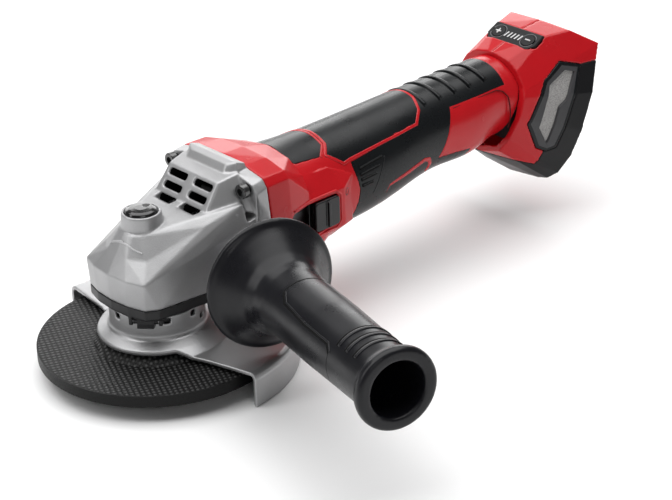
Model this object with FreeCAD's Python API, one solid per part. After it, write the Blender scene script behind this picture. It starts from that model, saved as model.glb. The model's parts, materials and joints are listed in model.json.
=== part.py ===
"""Cordless angle grinder for a 125 mm wheel, modelled as separate pieces.

Frame, in millimetres: the origin is the centre of the free tip of the spindle, on its axis.
+X runs along the barrel towards the battery foot, +Y is the side away from the fitted side
handle, and +Z runs up the spindle into the gear head.
"""
import FreeCAD, Part

import math
import os

V = FreeCAD.Vector
X_AXIS = V(1, 0, 0)
Y_AXIS = V(0, 1, 0)
Z_AXIS = V(0, 0, 1)

# ---------------------------------------------------------------- driving dimensions
# spindle, wheel and flanges
SPINDLE_R = 7.0             # M14 spindle
NOSE_LENGTH = 3.0           # free tip of the spindle below the lock nut
CORE_R = 6.8                # threaded stretch inside the nut and the flange
GEAR_SEAT_R = 6.8           # stretch of the spindle that the ring gear is pressed on
WHEEL_R = 62.5
WHEEL_FACE_Z = 2.2          # grinding face
WHEEL_T = 6.0
HUB_RISE = 6.0              # depth of the depressed centre
BUSHING_R = 11.1
CLAMP_R = 20.5              # radius of the inner flange and of the lock nut
SHOULDER_Z = 18.2           # spindle shoulder that the inner flange sits on

# gear head
MOTOR_Z = 60.0              # height of the motor shaft, and of the bevel gears' common apex
PLATE_Z = 32.9              # underside of the bearing flange
HEAD_Z = 38.7               # joint between the bearing flange and the gear head
CHAMBER_R = 24.0            # gear chamber
FLANGE_X = 48.0             # joint between the gear head and the motor housing
NECK_R = 22.6               # neck that the guard clamps on
NECK_Z = 19.6

# bevel gears
MODULE = 1.2
RING_TEETH = 37
PINION_TEETH = 10
FACE_WIDTH = 6.4
BACKLASH = 0.60

# guard
GUARD_R = 71.8
GUARD_TOP_Z = 12.2
GUARD_SKIRT_Z = -6.4
SHEET_T = 2.0
COLLAR_R = 24.5

# side handle: its axis leans forward in plan, away from square
HANDLE_LEAN = math.radians(15.0)
HANDLE_RISE = math.radians(2.0)
HANDLE_X = 40.8             # where the axis crosses the middle plane
HANDLE_Z = 48.6
BOSS_S = 37.0               # distances S run out along the handle's axis
STUD_R = 4.0
STUD_DEPTH = 9.0
RIM_S = 61.0
RIM_R = 34.1
GRIP_END_S = 191.9
GRIP_BORE_S = 140.0         # bottom of the open bore in the end of the grip

# motor and barrel: (x, centre height, outer radius) of the round sections
BARREL = ((70.0, 58.2, 31.6), (100.0, 57.9, 29.8), (124.0, 60.0, 27.9), (151.0, 62.1, 26.6),
          (174.0, 64.8, 24.7), (192.0, 65.6, 24.3), (217.0, 65.9, 24.3), (246.0, 66.1, 24.5))
WALL = 2.8
PAD_T = 1.6                 # thickness of the rubber laid into the barrel
STATOR_R = 24.0
ROTOR_R = 12.5
STATOR_X = (62.0, 98.0)

# slide switch
SLOT_X = (63.0, 97.5)
SLOT_Z = (48.5, 65.5)
ROD_Z = (55.0, 60.0)
SIDE_Y = 32.0               # flat side that the slide switch lies in

# battery foot: its rear face leans forward towards the bottom
FOOT_REAR_LEAN = 0.47       # forward shift per millimetre of drop
FOOT_REAR_X = 300.0         # rear face at its top edge
FOOT_REAR_Z = 91.8

CLEAR = 0.3                 # gap between pieces of different moving bodies
RUN = 0.05                  # radial clearance of a running fit


# ---------------------------------------------------------------- helpers
def box(low, high):
    size = [high[i] - low[i] for i in range(3)]
    return Part.makeBox(size[0], size[1], size[2], V(*low))


def cylinder(radius, start, axis, length):
    return Part.makeCylinder(radius, length, V(*start), axis)


def tube(outer, inner, start, axis, length):
    return cylinder(outer, start, axis, length).cut(cylinder(inner, start, axis, length))


def turned(profile, base=V(0, 0, 0), axis=Z_AXIS):
    """Solid of revolution of a closed (radius, height) profile about an axis."""
    side = FreeCAD.Rotation(Z_AXIS, axis).multVec(X_AXIS)
    points = [base + side * r + axis * h for r, h in profile]
    face = Part.Face(Part.makePolygon(points + [points[0]]))
    return face.revolve(base, axis, 360)


def prism(outline, low, high):
    """Upright prism over an (x, y) outline."""
    points = [V(x, y, low) for x, y in outline]
    face = Part.Face(Part.makePolygon(points + [points[0]]))
    return face.extrude(V(0, 0, high - low))


def side_prism(outline, low, high):
    """Prism along Y over an (x, z) outline."""
    points = [V(x, low, z) for x, z in outline]
    face = Part.Face(Part.makePolygon(points + [points[0]]))
    return face.extrude(V(0, high - low, 0))


def mirrored(points):
    """Points with their mirror images across the middle plane."""
    return [(x, s * y, z) for x, y, z in points for s in ((1, -1) if y else (1,))]


def hull(points):
    """Convex solid round a small set of points."""
    unique = sorted(set((round(x, 9), round(y, 9), round(z, 9)) for x, y, z in points))
    cloud = [V(*p) for p in unique]
    faces = {}
    count = len(cloud)
    flat = 1e-6
    for i in range(count):
        for j in range(i + 1, count):
            for k in range(j + 1, count):
                normal = (cloud[j] - cloud[i]).cross(cloud[k] - cloud[i])
                if normal.Length < 1e-6:
                    continue
                normal.normalize()
                offsets = [normal.dot(p - cloud[i]) for p in cloud]
                if max(offsets) > flat and min(offsets) < -flat:
                    continue
                if max(offsets) > flat:
                    normal = -normal
                members = tuple(n for n, o in enumerate(offsets) if abs(o) <= flat)
                faces[members] = normal
    shells = []
    for members, normal in faces.items():
        corners = [cloud[n] for n in members]
        centre = sum(corners, V(0, 0, 0)) * (1.0 / len(corners))
        across = (corners[0] - centre).normalize()
        along = normal.cross(across)
        corners.sort(key=lambda p: math.atan2((p - centre).dot(along), (p - centre).dot(across)))
        shells.append(Part.Face(Part.makePolygon(corners + [corners[0]])))
    solid = Part.Solid(Part.Shell(shells))
    if solid.Volume < 0:
        solid.reverse()
    return solid


def softened(solid, radius, chosen):
    """Round the chosen edges; an edge that can't take the radius stays sharp."""
    edges = [e for e in solid.Edges if chosen(e)]
    try:
        rounded = solid.makeFillet(radius, edges)
        if rounded.isValid() and rounded.Volume > 0:
            return rounded
    except Part.OCCError:
        pass
    for edge in edges:
        middle = edge.CenterOfMass
        match = [e for e in solid.Edges if (e.CenterOfMass - middle).Length < 0.01]
        if not match:
            continue
        try:
            rounded = solid.makeFillet(radius, match[:1])
        except Part.OCCError:
            continue
        if rounded.isValid() and rounded.Volume > 0:
            solid = rounded
    return solid


def carved(shape, tools):
    """Shape with every tool taken out of it in turn; the tools may overlap each other."""
    for tool in tools:
        shape = shape.cut(tool)
    return shape


def union(shapes):
    first = shapes[0]
    if len(shapes) == 1:
        return first
    return first.multiFuse(shapes[1:]).removeSplitter()


def around(shape, count, axis=Z_AXIS, base=V(0, 0, 0), phase=0.0):
    """Copies of a shape spread evenly round an axis."""
    copies = []
    for n in range(count):
        copy = shape.copy()
        copy.rotate(base, axis, phase + 360.0 * n / count)
        copies.append(copy)
    return copies


def save(name, shape):
    solids = shape.Solids
    if not solids or not all(s.isValid() and s.isClosed() for s in solids):
        print("CHECK", name, "is not a clean solid")
    result = solids[0] if len(solids) == 1 else Part.makeCompound(solids)
    result.exportStep("parts/" + name + ".step")
    print("%-24s %2d solid(s) %10.1f mm3" % (name, len(solids), sum(s.Volume for s in solids)))


def ball_bearing(name, centre, axis, bore, outer, width, ball_r, count):
    """A deep-groove bearing as an outer ring, an inner ring and its balls."""
    pitch = (bore + outer) / 2
    land = ball_r * 0.62
    groove_r = ball_r + RUN
    start = V(*centre) - axis * (width / 2)
    groove = Part.makeTorus(pitch, groove_r, V(*centre), axis)
    outer_ring = cylinder(outer, start, axis, width).cut(cylinder(pitch + land, start, axis, width))
    inner_ring = cylinder(pitch - land, start, axis, width).cut(cylinder(bore, start, axis, width))
    side = X_AXIS if abs(axis.x) < 0.5 else Z_AXIS
    ball = Part.makeSphere(ball_r, V(*centre) + side * pitch)
    save(name + "_outer", outer_ring.cut(groove))
    save(name + "_inner", inner_ring.cut(groove))
    save(name + "_balls", Part.makeCompound(around(ball, count, axis, V(*centre))))


# ---------------------------------------------------------------- spindle group
def spindle():
    profile = [(0, 0), (SPINDLE_R, 0), (SPINDLE_R, NOSE_LENGTH), (CORE_R, NOSE_LENGTH),
               (CORE_R, SHOULDER_Z), (9.2, SHOULDER_Z), (9.2, 24), (7.5, 24), (7.5, 35), (9.4, 35),
               (9.4, 46.5), (GEAR_SEAT_R, 46.5), (GEAR_SEAT_R, 53.2), (4.5, 53.2), (4.5, 65.5),
               (0, 65.5)]
    return turned(profile)


def inner_flange():
    top = SHOULDER_Z
    hub_top = WHEEL_FACE_Z + WHEEL_T + HUB_RISE
    profile = [(CORE_R, hub_top - 4.6), (BUSHING_R - 0.1, hub_top - 4.6), (BUSHING_R - 0.1, hub_top),
               (CLAMP_R, hub_top), (CLAMP_R, top - 1.4), (CLAMP_R - 1.2, top), (CORE_R, top)]
    return turned(profile)


def lock_nut():
    bottom = NOSE_LENGTH + 0.2
    hub_low = WHEEL_FACE_Z + HUB_RISE
    profile = [(CORE_R, bottom), (CLAMP_R - 6, bottom), (CLAMP_R - 0.4, bottom + 1.2),
               (CLAMP_R, bottom + 1.8), (CLAMP_R, hub_low), (CORE_R, hub_low)]
    nut = turned(profile)
    pin_hole = cylinder(2.6, (15.0, 0, bottom - 1), Z_AXIS, 4.4)
    return carved(nut, around(pin_hole, 4))


def grinding_wheel():
    low = WHEEL_FACE_Z
    hub_low = low + HUB_RISE
    inner = BUSHING_R + 1.1
    profile = [(inner, hub_low), (22.5, hub_low), (31.0, low), (WHEEL_R, low),
               (WHEEL_R, low + WHEEL_T), (33.5, low + WHEEL_T), (25.0, hub_low + WHEEL_T),
               (inner, hub_low + WHEEL_T)]
    return turned(profile)


def wheel_bushing():
    low = WHEEL_FACE_Z + HUB_RISE
    return tube(BUSHING_R + 1.1, BUSHING_R, (0, 0, low), Z_AXIS, WHEEL_T)


def bevel_tooth(cone, pitch_r, teeth, addendum, dedendum):
    """One straight bevel tooth about +Z, its apex at the origin, pointing down the cone.

    The flanks are straight in section; the section shrinks towards the apex.
    """
    reach = pitch_r / math.sin(cone)
    inner = (reach - FACE_WIDTH) / reach
    half = math.pi * pitch_r / teeth / 2 - BACKLASH / 4
    slope = math.tan(math.radians(20))
    along = V(math.sin(cone), 0, -math.cos(cone))
    outward = V(math.cos(cone), 0, math.sin(cone))
    points = []
    for height, width in ((addendum, half - addendum * slope), (-dedendum, half + dedendum * slope)):
        for side in (-1, 1):
            corner = along * reach + outward * height + Y_AXIS * (side * width)
            for scale in (1.0, inner):
                points.append(tuple(corner * scale))
    return hull(points)


def ring_gear():
    """Bevel ring gear with its apex at the motor shaft's height."""
    pitch_r = MODULE * RING_TEETH / 2
    cone = math.atan2(RING_TEETH, PINION_TEETH)
    tooth = bevel_tooth(cone, pitch_r, RING_TEETH, 0.62 * MODULE, 1.45 * MODULE)
    teeth = around(tooth, RING_TEETH)
    reach = pitch_r / math.sin(cone)
    inner = (reach - FACE_WIDTH) / reach
    root = 1.38 * MODULE
    rim = V(math.sin(cone), 0, -math.cos(cone)) * reach - V(math.cos(cone), 0, math.sin(cone)) * root
    low_z = 46.5 - MOTOR_Z
    web_z = rim.z * inner - 0.6
    profile = [(GEAR_SEAT_R, low_z), (13.0, low_z), (rim.x - 3.0, low_z + 2.0), (rim.x, rim.z - 2.4),
               (rim.x, rim.z), (rim.x * inner, rim.z * inner), (rim.x * inner - 0.6, web_z),
               (GEAR_SEAT_R, web_z)]
    gear = union([turned(profile)] + teeth)
    lock_hole = cylinder(2.4, (-LOCK_X, 0, web_z - 4.0), Z_AXIS, 6.0)
    gear = carved(gear, around(lock_hole, 4))
    gear.translate(V(0, 0, MOTOR_Z))
    return gear


SHAFT_START = 26.4          # where the motor shaft meets the hub of the pinion
LOCK_X = 11.2               # distance of the lock pin from the spindle's axis


def pinion():
    """Bevel pinion, made about +Z and then laid along the motor shaft."""
    pitch_r = MODULE * PINION_TEETH / 2
    cone = math.atan2(PINION_TEETH, RING_TEETH)
    tooth = bevel_tooth(cone, pitch_r, PINION_TEETH, 1.15 * MODULE, 0.85 * MODULE)
    teeth = around(tooth, PINION_TEETH, phase=360.0 / PINION_TEETH / 2)
    reach = pitch_r / math.sin(cone)
    inner = (reach - FACE_WIDTH) / reach
    root = 0.78 * MODULE
    rim = V(math.sin(cone), 0, -math.cos(cone)) * reach - V(math.cos(cone), 0, math.sin(cone)) * root
    hub = -SHAFT_START
    profile = [(0, hub), (5.4, hub), (5.4, rim.z), (rim.x, rim.z),
               (rim.x * inner, rim.z * inner), (0, rim.z * inner)]
    gear = union([turned(profile)] + teeth)
    gear.rotate(V(0, 0, 0), Y_AXIS, -90)
    gear.translate(V(0, 0, MOTOR_Z))
    return gear


# ---------------------------------------------------------------- gear head
HEAD_BOTTOM = [(-28.0, 0), (-27.0, 12.3), (-24.2, 22.2), (-18.0, 26.2), (10.3, 28.9), (33.0, 30.6)]
HEAD_SHOULDER = [(-24.4, 23.6, 53.2), (-27.9, 13.0, 53.2), (-29.1, 0, 53.2), (8.8, 29.2, 61.7),
                 (36.0, 32.5, 69.0)]
HOOD_EDGE = [(-16.9, 16.8, 62.2), (-22.4, 8.0, 62.2), (-23.0, 0, 62.2), (14.8, 25.3, 73.2),
             (36.0, 29.5, 79.5)]
FLANGE_FRONT = [(0, 91.6), (22.0, 91.0), (31.0, 88.6), (34.2, 84.0), (34.6, 70.0), (34.6, 50.0),
                (30.0, 36.0), (22.0, 31.0)]
FLANGE_REAR = [(0, 94.0), (17.0, 92.6), (31.0, 89.9), (34.2, 86.0), (36.3, 70.0), (36.3, 50.0),
               (31.5, 35.0), (22.0, 29.5)]
VENT_LOW = (14.0, 21.0, 70.0)      # lower and upper corners of the sloping face with the vents
VENT_HIGH = (28.8, 19.0, 89.9)
VENT_PITCH = 6.95
BOSS_X = -5.4
BOSS_R = 10.1               # at its top
BOSS_TOP_Z = 80.4
SPRING_SEAT_Z = 72.6        # bottom of the bore that the lock button slides in
FAN_ROOM_X = 42.0
SCREW_X = 38.5
SCREW_Y = 28.0
SCREW_ZS = (85.6, 37.0)


def flange_points(section, x):
    return [(x, y, z) for y, z in section]


def handle_axis(side=-1):
    level = math.cos(HANDLE_RISE)
    return V(-math.sin(HANDLE_LEAN) * level, side * math.cos(HANDLE_LEAN) * level,
             math.sin(HANDLE_RISE))


def handle_point(s, side=-1):
    """Point at distance s out along the handle's axis on one side."""
    return V(HANDLE_X, 0, HANDLE_Z) + handle_axis(side) * s


def head_outer():
    bottom = [(x, y, HEAD_Z) for x, y in HEAD_BOTTOM]
    lower = hull(mirrored(bottom + HEAD_SHOULDER + HOOD_EDGE))
    upright = lambda e: e.CenterOfMass.z > HEAD_Z + 1 and e.CenterOfMass.x < 30
    lower = softened(lower, 1.6, upright)
    face = [VENT_LOW, VENT_HIGH, (41.0, 21.0, 92.2), (41.0, 30.0, 76.0), (15.0, 22.5, 66.0)]
    vent_block = hull(mirrored(face))
    flange = hull(mirrored(flange_points(FLANGE_FRONT, 40.5) + flange_points(FLANGE_REAR, FLANGE_X)))
    waist = hull(mirrored([(10.0, 27.6, 39.5), (10.0, 27.6, 61.0), (33.0, 30.4, HEAD_Z),
                           (42.0, 33.6, 40.0), (42.0, 33.6, 72.0), (42.0, 22.0, 32.0),
                           (33.0, 20.0, HEAD_Z)]))
    crest = hull(mirrored([(35.5, 14.5, 89.8), (41.0, 19.5, 91.5), (38.6, 14.0, 95.2),
                           (42.0, 18.4, 96.6), (47.6, 18.4, 94.6), (47.6, 19.5, 91.0)]))
    foot_turns = [math.radians(15 * n) for n in range(24)]
    foot_ring = [(BOSS_X + 11.8 * math.cos(t), 11.8 * math.sin(t), 72.0) for t in foot_turns]
    boss_foot = hull(mirrored(HOOD_EDGE) + foot_ring)
    boss = Part.makeCone(11.2, BOSS_R, BOSS_TOP_Z - 66.0, V(BOSS_X, 0, 66.0))
    handle_bosses = [Part.makeCone(14.5, 12.0, 16.0, handle_point(BOSS_S - 16, s), handle_axis(s))
                     for s in (-1, 1)]
    gussets = [hull([(33.5, s * 21.5, 84.0), (41.0, s * 34.0, 73.5), (41.0, s * 22.0, 90.0),
                     (33.5, s * 27.0, 76.0), (41.0, s * 23.5, 72.0)]) for s in (-1, 1)]
    head = union([lower, vent_block, flange, waist, crest, boss_foot, boss] + handle_bosses + gussets)
    head = head.cut(box((FLANGE_X, -60, 0), (FLANGE_X + 20, 60, 140)))
    return head.cut(prism(plate_outline(), 0, HEAD_Z))


def vent(row, side):
    """One slot through the sloping face, counted down from the top on one side."""
    slope = V(VENT_HIGH[0] - VENT_LOW[0], 0, VENT_HIGH[2] - VENT_LOW[2]).normalize()
    out = V(-slope.z, 0, slope.x)
    height = 3.7
    top = V(VENT_HIGH[0], 0, VENT_HIGH[2]) - slope * (2.0 + VENT_PITCH * row)
    corners = [top + out * 6, top - out * 11, top - slope * height - out * 11,
               top - slope * height + out * 6]
    low, high = sorted((side * 3.0, side * (16.6 - 0.3 * row)))
    return side_prism([(p.x, p.z) for p in corners], low, high)


def gear_head():
    inset = 0.88
    middle = 61.0
    cavity = [[(x, y * inset, middle + (z - middle) * inset) for y, z in section]
              for section, x in ((FLANGE_FRONT, FAN_ROOM_X), (FLANGE_REAR, FLANGE_X + 1))]
    fan_room = hull(mirrored(cavity[0] + cavity[1]))
    air_duct = hull(mirrored([(27.5, 16.5, 77.0), (33.5, 15.5, 86.0), (43.0, 16.5, 87.0),
                              (43.0, 17.5, 76.0)]))
    tools = [cylinder(CHAMBER_R, (0, 0, HEAD_Z - 1), Z_AXIS, 58.4 - HEAD_Z + 1),
             cylinder(7.3, (0, 0, 58.0), Z_AXIS, 8.0),
             cylinder(9.2, (8, 0, MOTOR_Z), X_AXIS, 20),
             cylinder(13.0, (27, 0, MOTOR_Z), X_AXIS, 9.5),
             cylinder(7.4, (27, 0, MOTOR_Z), X_AXIS, 20),
             cylinder(5.5, (0, 0, MOTOR_Z), X_AXIS, 12), fan_room, air_duct]
    tools += [vent(row, side) for row in range(3) for side in (-1, 1)]
    tools.append(cylinder(8.3 + CLEAR, (BOSS_X, 0, SPRING_SEAT_Z), Z_AXIS, 12))
    tools.append(cylinder(2.0 + CLEAR, (-LOCK_X, 0, 54), Z_AXIS, 22))
    for side in (-1, 1):
        tools.append(cylinder(2.1, (20, side * SCREW_Y, SCREW_ZS[0]), X_AXIS, 40))
        tools.append(cylinder(4.6, (10, side * SCREW_Y, SCREW_ZS[0]), X_AXIS, SCREW_X - 10))
        tools.append(cylinder(2.1, (20, side * 27.0, SCREW_ZS[1]), X_AXIS, 40))
        tools.append(cylinder(4.6, (36, side * 27.0, SCREW_ZS[1]), X_AXIS, 6.6))
        tools.append(cylinder(STUD_R, handle_point(BOSS_S - 15, side), handle_axis(side), 20))
    for x, y in FLANGE_SCREWS:
        tools.append(cylinder(2.0, (x, y, HEAD_Z - 1), Z_AXIS, 11))
    return carved(head_outer(), tools)


LEVER_TURN = 41.0           # the guard lever is drawn at the nose and then turned to its place
LEVER_PIN = (-27.0, 31.0)   # x and z of its pivot before that turn
FLANGE_SCREWS = [(-18.4, 19.6), (-18.4, -19.6), (24.5, 23.5), (24.5, -23.5)]


def plate_outline():
    right = [(x, -y) for x, y in HEAD_BOTTOM]
    left = [(x, y) for x, y in reversed(HEAD_BOTTOM) if y]
    return right + left


def bearing_flange():
    plate = prism(plate_outline(), PLATE_Z, HEAD_Z)
    plate = softened(plate, 1.0, lambda e: abs(e.CenterOfMass.z - PLATE_Z) < 0.01)
    neck = cylinder(NECK_R, (0, 0, NECK_Z), Z_AXIS, PLATE_Z - NECK_Z + 1)
    register = cylinder(CHAMBER_R - RUN, (0, 0, HEAD_Z - 1), Z_AXIS, 3.6)
    flange = union([plate, neck, register])
    seat = cylinder(17.5, (0, 0, 24.0), Z_AXIS, 30)
    mouth = cylinder(12.6, (0, 0, NECK_Z - 1), Z_AXIS, 8)
    step = cylinder(15.0, (0, 0, 21.6), Z_AXIS, 3)
    holes = [seat, mouth, step]
    for x, y in FLANGE_SCREWS:
        holes.append(cylinder(2.1, (x, y, PLATE_Z - 1), Z_AXIS, 12))
        holes.append(cylinder(3.9, (x, y, PLATE_Z - 1), Z_AXIS, 4.2))
    flange = carved(flange, holes)
    lugs = []
    for low in (-8.6, 6.5):
        lug = box((-28.8, low, 29.0), (-25.2, low + 2.1, PLATE_Z + 0.5))
        lug.rotate(V(0, 0, 0), Z_AXIS, LEVER_TURN)
        lugs.append(lug)
    pin_hole = cylinder(1.05, (LEVER_PIN[0], -8.3, LEVER_PIN[1]), Y_AXIS, 16.6)
    pin_hole.rotate(V(0, 0, 0), Z_AXIS, LEVER_TURN)
    return union([flange] + lugs).cut(pin_hole)


def flange_screws():
    screws = []
    for x, y in FLANGE_SCREWS:
        head = cylinder(3.6, (x, y, PLATE_Z + 0.2), Z_AXIS, 3.0)
        socket = cylinder(1.7, (x, y, PLATE_Z + 0.1), Z_AXIS, 1.8)
        shank = cylinder(2.0, (x, y, PLATE_Z + 3.2), Z_AXIS, 12.0)
        screws.append(union([head.cut(socket), shank]))
    return Part.makeCompound(screws)


def head_screws():
    screws = []
    for side in (-1, 1):
        for y, z, start in ((SCREW_Y, SCREW_ZS[0], SCREW_X - 3.4), (27.0, SCREW_ZS[1], 38.8)):
            head = softened(cylinder(3.9, (start, side * y, z), X_AXIS, 3.4), 0.7,
                            lambda e: abs(e.CenterOfMass.x - start) < 0.01)
            socket = cylinder(1.9, (start - 0.1, side * y, z), X_AXIS, 2.1)
            shank = cylinder(2.0, (start + 3.4, side * y, z), X_AXIS, 24.0)
            screws.append(union([head.cut(socket), shank]))
    return Part.makeCompound(screws)


def lock_button():
    low = SPRING_SEAT_Z + 4.2
    profile = [(0, low), (8.3, low), (8.3, low + 3.4), (7.7, low + 4.5), (6.0, low + 5.1),
               (3.0, low + 5.3), (0, low + 5.3)]
    cap = turned(profile, base=V(BOSS_X, 0, 0))
    dimple = Part.makeSphere(3.0, V(BOSS_X + 3.4, 0, low + 7.5))
    cap = cap.cut(dimple)
    spring_room = tube(5.2, 2.6, (BOSS_X + 1.2, 0, low - 0.1), Z_AXIS, 2.4)
    pin_seat = cylinder(2.0, (-LOCK_X, 0, low - 1), Z_AXIS, 4)
    return carved(cap, [spring_room, pin_seat])


def lock_pin():
    return cylinder(2.0, (-LOCK_X, 0, 54.6), Z_AXIS, 25.2)


def coil_spring(radius, wire_r, height, turns, base, axis=Z_AXIS):
    """A coil spring as a stack of rings joined into one closed solid by short posts."""
    rings = []
    step = (height - 2 * wire_r) / turns
    for n in range(turns + 1):
        rings.append(Part.makeTorus(radius, wire_r, V(0, 0, wire_r + n * step), Z_AXIS))
    posts = [cylinder(wire_r * 0.8, (radius * (-1) ** n, 0, wire_r + n * step), Z_AXIS, step)
             for n in range(turns)]
    spring = union(rings + posts)
    turn = FreeCAD.Rotation(Z_AXIS, axis)
    spring.Placement = FreeCAD.Placement(base, turn)
    return spring


def handle_turned(profile):
    """Solid of revolution about the fitted handle's axis, from (radius, s) points."""
    base = V(HANDLE_X, 0, HANDLE_Z)
    return turned(profile, base=base, axis=handle_axis())


# ---------------------------------------------------------------- guard and its lever
COLLAR_WINDOWS = [(178, 28.4), (-116, 28.4), (-80, 28.4), (-62, 23.7), (-25, 28.4), (10, 23.7),
                  (45, 28.4), (80, 28.4), (115, 23.7), (148, 28.4)]   # (azimuth, height)


def guard_section(top_offset):
    """Half section of the pressed guard, as (radius, height) points of one skin."""
    points = [(COLLAR_R, 31.0), (COLLAR_R, 20.0), (25.2, 18.2), (27.0, 17.3), (31.2, 15.2),
              (36.5, GUARD_TOP_Z), (GUARD_R - 3.2, GUARD_TOP_Z), (GUARD_R - 1.0, GUARD_TOP_Z - 1.0),
              (GUARD_R, GUARD_TOP_Z - 3.2), (GUARD_R, GUARD_SKIRT_Z)]
    if not top_offset:
        return points
    t = SHEET_T
    return [(COLLAR_R - 1.5, 31.0), (COLLAR_R - 1.5, 19.4), (24.2, 16.6), (26.2, 15.4),
            (30.4, 13.2), (35.9, GUARD_TOP_Z - t), (GUARD_R - 3.6, GUARD_TOP_Z - t),
            (GUARD_R - t - 0.5, GUARD_TOP_Z - t - 0.5), (GUARD_R - t, GUARD_TOP_Z - 3.8),
            (GUARD_R - t, GUARD_SKIRT_Z)]


def guard():
    shell = turned(guard_section(False) + list(reversed(guard_section(True))))
    low = GUARD_SKIRT_Z - 1
    edge = [(-90, -90), (3.1, -90), (3.1, -70.1), (-4.0, -44.0), (-7.0, -36.0), (-11.5, -29.2),
            (-20.6, -23.2), (-30.8, -3.0), (-30.0, 8.0), (-26.0, 17.2), (-18.2, 25.6),
            (-9.0, 32.0), (-6.4, 40.0), (-3.2, 66.4), (-3.2, 90), (-90, 90)]
    front = prism(edge, low, 60)
    ring = cylinder(31.2, (0, 0, low), Z_AXIS, 80)
    shell = shell.cut(front.cut(ring))
    windows = []
    for angle, height in COLLAR_WINDOWS:
        window = box((20, -1.8, height - 1.4), (28, 1.8, height + 1.4))
        window.rotate(V(0, 0, 0), Z_AXIS, angle)
        windows.append(window)
    return carved(shell, windows)


def guard_lever():
    """Sprung catch on a pin across it; its tooth stands just clear of the guard's collar."""
    x, z = LEVER_PIN
    paddle = side_prism([(x - 1.7, z + 1.3), (x - 2.2, z - 1.0), (x - 2.9, z - 2.6), (x - 2.3, z - 3.4),
                         (x + 0.6, z - 3.6), (x + 2.1, z - 3.4), (x + 2.1, z - 2.0),
                         (x + 1.5, z - 1.2), (x + 1.5, z + 1.3)], -4.2, 4.2)
    sleeve = cylinder(1.7, (x, -6.2, z), Y_AXIS, 12.4)
    paddle = union([paddle, sleeve]).cut(cylinder(1.05 + RUN, (x, -12, z), Y_AXIS, 24))
    paddle.rotate(V(0, 0, 0), Z_AXIS, LEVER_TURN)
    return paddle


def lever_pin():
    x, z = LEVER_PIN
    pin = cylinder(1.05, (x, -8.3, z), Y_AXIS, 16.6)
    pin.rotate(V(0, 0, 0), Z_AXIS, LEVER_TURN)
    return pin


# ---------------------------------------------------------------- motor
def rotor_shaft():
    profile = [(0, SHAFT_START), (5.0, SHAFT_START), (5.0, 36.0), (5.9, 36.0), (5.9, 42.5), (5.0, 42.5),
               (5.0, 106.5), (4.0, 106.5), (4.0, 117.0), (0, 117.0)]
    return turned(profile, base=V(0, 0, MOTOR_Z), axis=X_AXIS)


def fan():
    disc = turned([(5.0, 43.0), (9.0, 43.0), (9.0, 50.0), (22.0, 52.6), (23.6, 53.4), (23.6, 55.0),
                   (5.0, 55.0)], base=V(0, 0, MOTOR_Z), axis=X_AXIS)
    blade = box((44.0, 8.4, -0.7), (54.0, 23.4, 0.7))
    blade.rotate(V(0, 8.4, 0), X_AXIS, 24)
    blade.translate(V(0, 0, MOTOR_Z))
    return union([disc] + around(blade, 11, X_AXIS, V(0, 0, MOTOR_Z)))


def rotor_core():
    x0, x1 = STATOR_X
    return tube(ROTOR_R - 1.8, 5.0, (x0, 0, MOTOR_Z), X_AXIS, x1 - x0)


def rotor_magnets():
    x0, x1 = STATOR_X
    ring = tube(ROTOR_R, ROTOR_R - 1.8, (x0 + 1, 0, MOTOR_Z), X_AXIS, x1 - x0 - 2)
    gap = box((x0, -0.5, 0), (x1, 0.5, ROTOR_R + 2))
    gap.translate(V(0, 0, MOTOR_Z))
    return carved(ring, around(gap, 6, X_AXIS, V(0, 0, MOTOR_Z)))


def stator_core():
    x0, x1 = STATOR_X
    yoke = tube(STATOR_R, STATOR_R - 3.6, (x0, 0, MOTOR_Z), X_AXIS, x1 - x0)
    limb = box((x0, -2.2, ROTOR_R + 1.6), (x1, 2.2, STATOR_R - 3.0))
    shoe = tube(ROTOR_R + 2.6, ROTOR_R + 0.5, (x0, 0, 0), X_AXIS, x1 - x0)
    shoe = shoe.common(box((x0, -5.6, 8), (x1, 5.6, 20)))
    tooth = union([limb, shoe])
    tooth.translate(V(0, 0, MOTOR_Z))
    return union([yoke] + around(tooth, 6, X_AXIS, V(0, 0, MOTOR_Z)))


def stator_windings():
    x0, x1 = STATOR_X
    coil = box((x0 - 4.5, -5.2, 15.4), (x1 + 4.5, 5.2, 19.6))
    coil = softened(coil, 1.4, lambda e: abs(e.CenterOfMass.x - (x0 + x1) / 2) > 18)
    coil = coil.cut(box((x0 - 0.4, -2.3, 15), (x1 + 0.4, 2.3, 20)))
    coil.translate(V(0, 0, MOTOR_Z))
    return Part.makeCompound(around(coil, 6, X_AXIS, V(0, 0, MOTOR_Z)))


def bearing_bracket():
    """Spider behind the motor that holds the rear bearing."""
    hub = tube(14.0, 11.0, (107.6, 0, MOTOR_Z), X_AXIS, 8.4)
    back = tube(14.0, 6.0, (116.0, 0, MOTOR_Z), X_AXIS, 2.0)
    arm = box((110.0, -2.0, 13.0), (114.0, 2.0, 23.6))
    arm.translate(V(0, 0, MOTOR_Z))
    rim = tube(24.4, 22.8, (107.6, 0, MOTOR_Z), X_AXIS, 8.4)
    arms = around(arm, 4, X_AXIS, V(0, 0, MOTOR_Z), phase=45)
    bracket = union([hub, back, rim] + arms)
    rod_gap = box((106.0, -26.0, ROD_Z[0] - CLEAR), (117.0, -20.0, ROD_Z[1] + CLEAR))
    return bracket.common(loft_barrel(-WALL - 0.3)).cut(rod_gap)


# ---------------------------------------------------------------- barrel
def loft_barrel(offset, first=0):
    """Barrel volume through its round sections, grown or shrunk by an offset."""
    wires = []
    for x, z, r in BARREL[first:]:
        circle = Part.Circle(V(x, 0, z), X_AXIS, r + offset)
        wires.append(Part.Wire(circle.toShape()))
    return Part.makeLoft(wires, True, False)


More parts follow.
